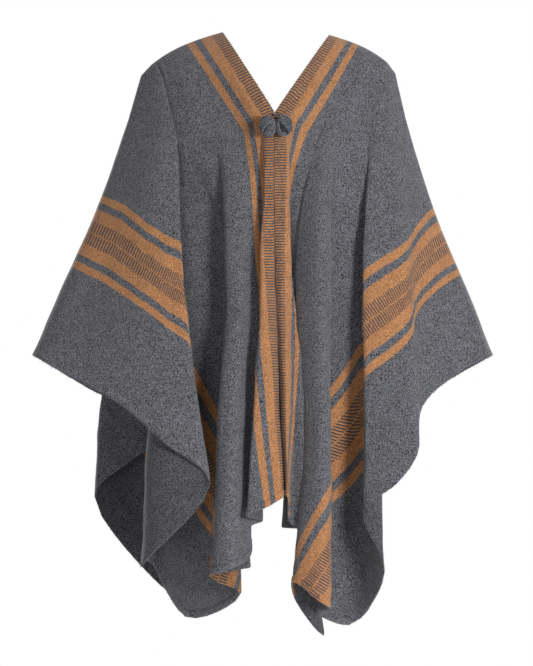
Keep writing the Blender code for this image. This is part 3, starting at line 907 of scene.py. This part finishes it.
class PONCHO_OT_fibres(bpy.types.Operator):
    """Build the loose fibres along the edges"""

    bl_idname = "poncho.fibres"
    bl_label = "Edge Fibres"

    def execute(self, context):
        for name in SIDES:
            edge_fibres(name, context.scene.poncho_cloth)
        return {"FINISHED"}


class PONCHO_OT_clasp(bpy.types.Operator):
    """Build the two pompoms and the cord that ties them"""

    bl_idname = "poncho.clasp"
    bl_label = "Pompom Clasp"

    def execute(self, context):
        settings = context.scene.poncho_clasp
        pompom("pompom_left", -1, settings)
        pompom("pompom_right", 1, settings)
        clasp_cord(settings)
        return {"FINISHED"}


class PONCHO_OT_stage(bpy.types.Operator):
    """Build the pale studio, its lights and the camera"""

    bl_idname = "poncho.stage"
    bl_label = "Studio Stage"

    def execute(self, context):
        studio(context.scene, context.scene.poncho_stage)
        return {"FINISHED"}


def area_lamp(name, place, aim, size, power):
    """A square studio lamp aimed at a point."""
    light = bpy.data.lights.new(name, "AREA")
    light.shape = "SQUARE"
    light.size = size
    light.energy = power
    lamp = bpy.data.objects.new(name, light)
    lamp.location = place
    lamp.rotation_mode = "QUATERNION"
    lamp.rotation_quaternion = (Vector(aim) - Vector(place)).to_track_quat("-Z", "Y")
    lamp.visible_camera = False
    bpy.context.scene.collection.objects.link(lamp)


def white_room(scene, strength):
    """A room that is white to the eye and only a dim light on the wool."""
    world = bpy.data.worlds.new("room_light")
    world.use_nodes = True
    nodes, links = world.node_tree.nodes, world.node_tree.links
    dim = nodes["Background"]
    dim.inputs["Color"].default_value = (1, 1, 1, 1)
    dim.inputs["Strength"].default_value = strength
    bright = nodes.new("ShaderNodeBackground")
    bright.inputs["Color"].default_value = (1, 1, 1, 1)
    ray = nodes.new("ShaderNodeLightPath")
    choice = nodes.new("ShaderNodeMixShader")
    links.new(ray.outputs["Is Camera Ray"], choice.inputs[0])
    links.new(dim.outputs[0], choice.inputs[1])
    links.new(bright.outputs[0], choice.inputs[2])
    links.new(choice.outputs[0], nodes["World Output"].inputs["Surface"])
    scene.world = world


def studio(scene, settings):
    """Pale floor, white room, soft lights and a long-lens camera in front."""
    bm = bmesh.new()
    bmesh.ops.create_circle(bm, cap_ends=True, segments=96, radius=FLOOR_RADIUS)
    bmesh.ops.translate(bm, verts=bm.verts, vec=(0, 0, settings.ground))
    mesh = mesh_from_bmesh("studio_floor", bm, smooth=False)
    floor = bpy.data.objects.new("studio_floor", mesh)
    tree = Tree("pale_floor")
    paper = tree.noise(tree.add("ShaderNodeTexCoord").outputs["Object"], 3.0)
    tree.put(tree.shader.inputs["Base Color"], tree.mix(paper, (0.93, 0.93, 0.93), (0.95, 0.95, 0.95)))
    tree.shader.inputs["Roughness"].default_value = 0.9
    mesh.materials.append(tree.material)
    scene.collection.objects.link(floor)
    white_room(scene, settings.sky)
    area_lamp("key_lamp", (2.1, -3.6, -0.2), (0, 0, -0.5), 0.9, settings.key)
    area_lamp("fill_lamp", (-1.3, -4.0, -0.4), (0, 0, -0.5), 1.6, settings.fill)
    area_lamp("rear_lamp_left", (-2.6, 3.2, 0.4), (0, 0, -0.5), 1.8, settings.rear)
    area_lamp("rear_lamp_right", (2.6, 3.2, 0.4), (0, 0, -0.5), 1.8, settings.rear)
    area_lamp("floor_lamp", (0, 0, 3.4), (0, 0, -1.5), 3.0, settings.rear * 0.5)
    scene.view_settings.view_transform = "Standard"
    camera = bpy.data.cameras.new("front_camera")
    camera.sensor_width = 36
    camera.lens = CAMERA_LENS
    camera.clip_end = 60
    view = bpy.data.objects.new("front_camera", camera)
    view.location = CAMERA_PLACE
    view.rotation_euler = (math.radians(90), 0, 0)
    scene.collection.objects.link(view)
    scene.camera = view


class PONCHO_PT_build(bpy.types.Panel):
    """Sizes, colours and build steps of the poncho"""

    bl_idname = "PONCHO_PT_build"
    bl_label = "Andean Poncho"
    bl_space_type = "VIEW_3D"
    bl_region_type = "UI"
    bl_category = "Poncho"

    def draw(self, context):
        layout = self.layout
        for group in (context.scene.poncho_cloth, context.scene.poncho_clasp, context.scene.poncho_stage):
            box = layout.box()
            for key in group.__annotations__:
                box.prop(group, key)
        for operator in OPERATORS:
            layout.operator(operator.bl_idname)


OPERATORS = (PONCHO_OT_panels, PONCHO_OT_hems, PONCHO_OT_fibres, PONCHO_OT_clasp, PONCHO_OT_stage)
CLASSES = (PonchoCloth, PonchoClasp, PonchoStage, *OPERATORS, PONCHO_PT_build)


def register():
    """Register the classes and hang the settings on the scene."""
    for cls in CLASSES:
        bpy.utils.register_class(cls)
    bpy.types.Scene.poncho_cloth = bpy.props.PointerProperty(type=PonchoCloth)
    bpy.types.Scene.poncho_clasp = bpy.props.PointerProperty(type=PonchoClasp)
    bpy.types.Scene.poncho_stage = bpy.props.PointerProperty(type=PonchoStage)


def unregister():
    """Take the settings and classes away again."""
    del bpy.types.Scene.poncho_cloth
    del bpy.types.Scene.poncho_clasp
    del bpy.types.Scene.poncho_stage
    for cls in reversed(CLASSES):
        bpy.utils.unregister_class(cls)


def main():
    """Build every piece."""
    register()
    bpy.ops.poncho.panels()
    bpy.ops.poncho.hems()
    bpy.ops.poncho.fibres()
    bpy.ops.poncho.clasp()
    bpy.ops.poncho.stage()


if __name__ == "__main__":
    main()
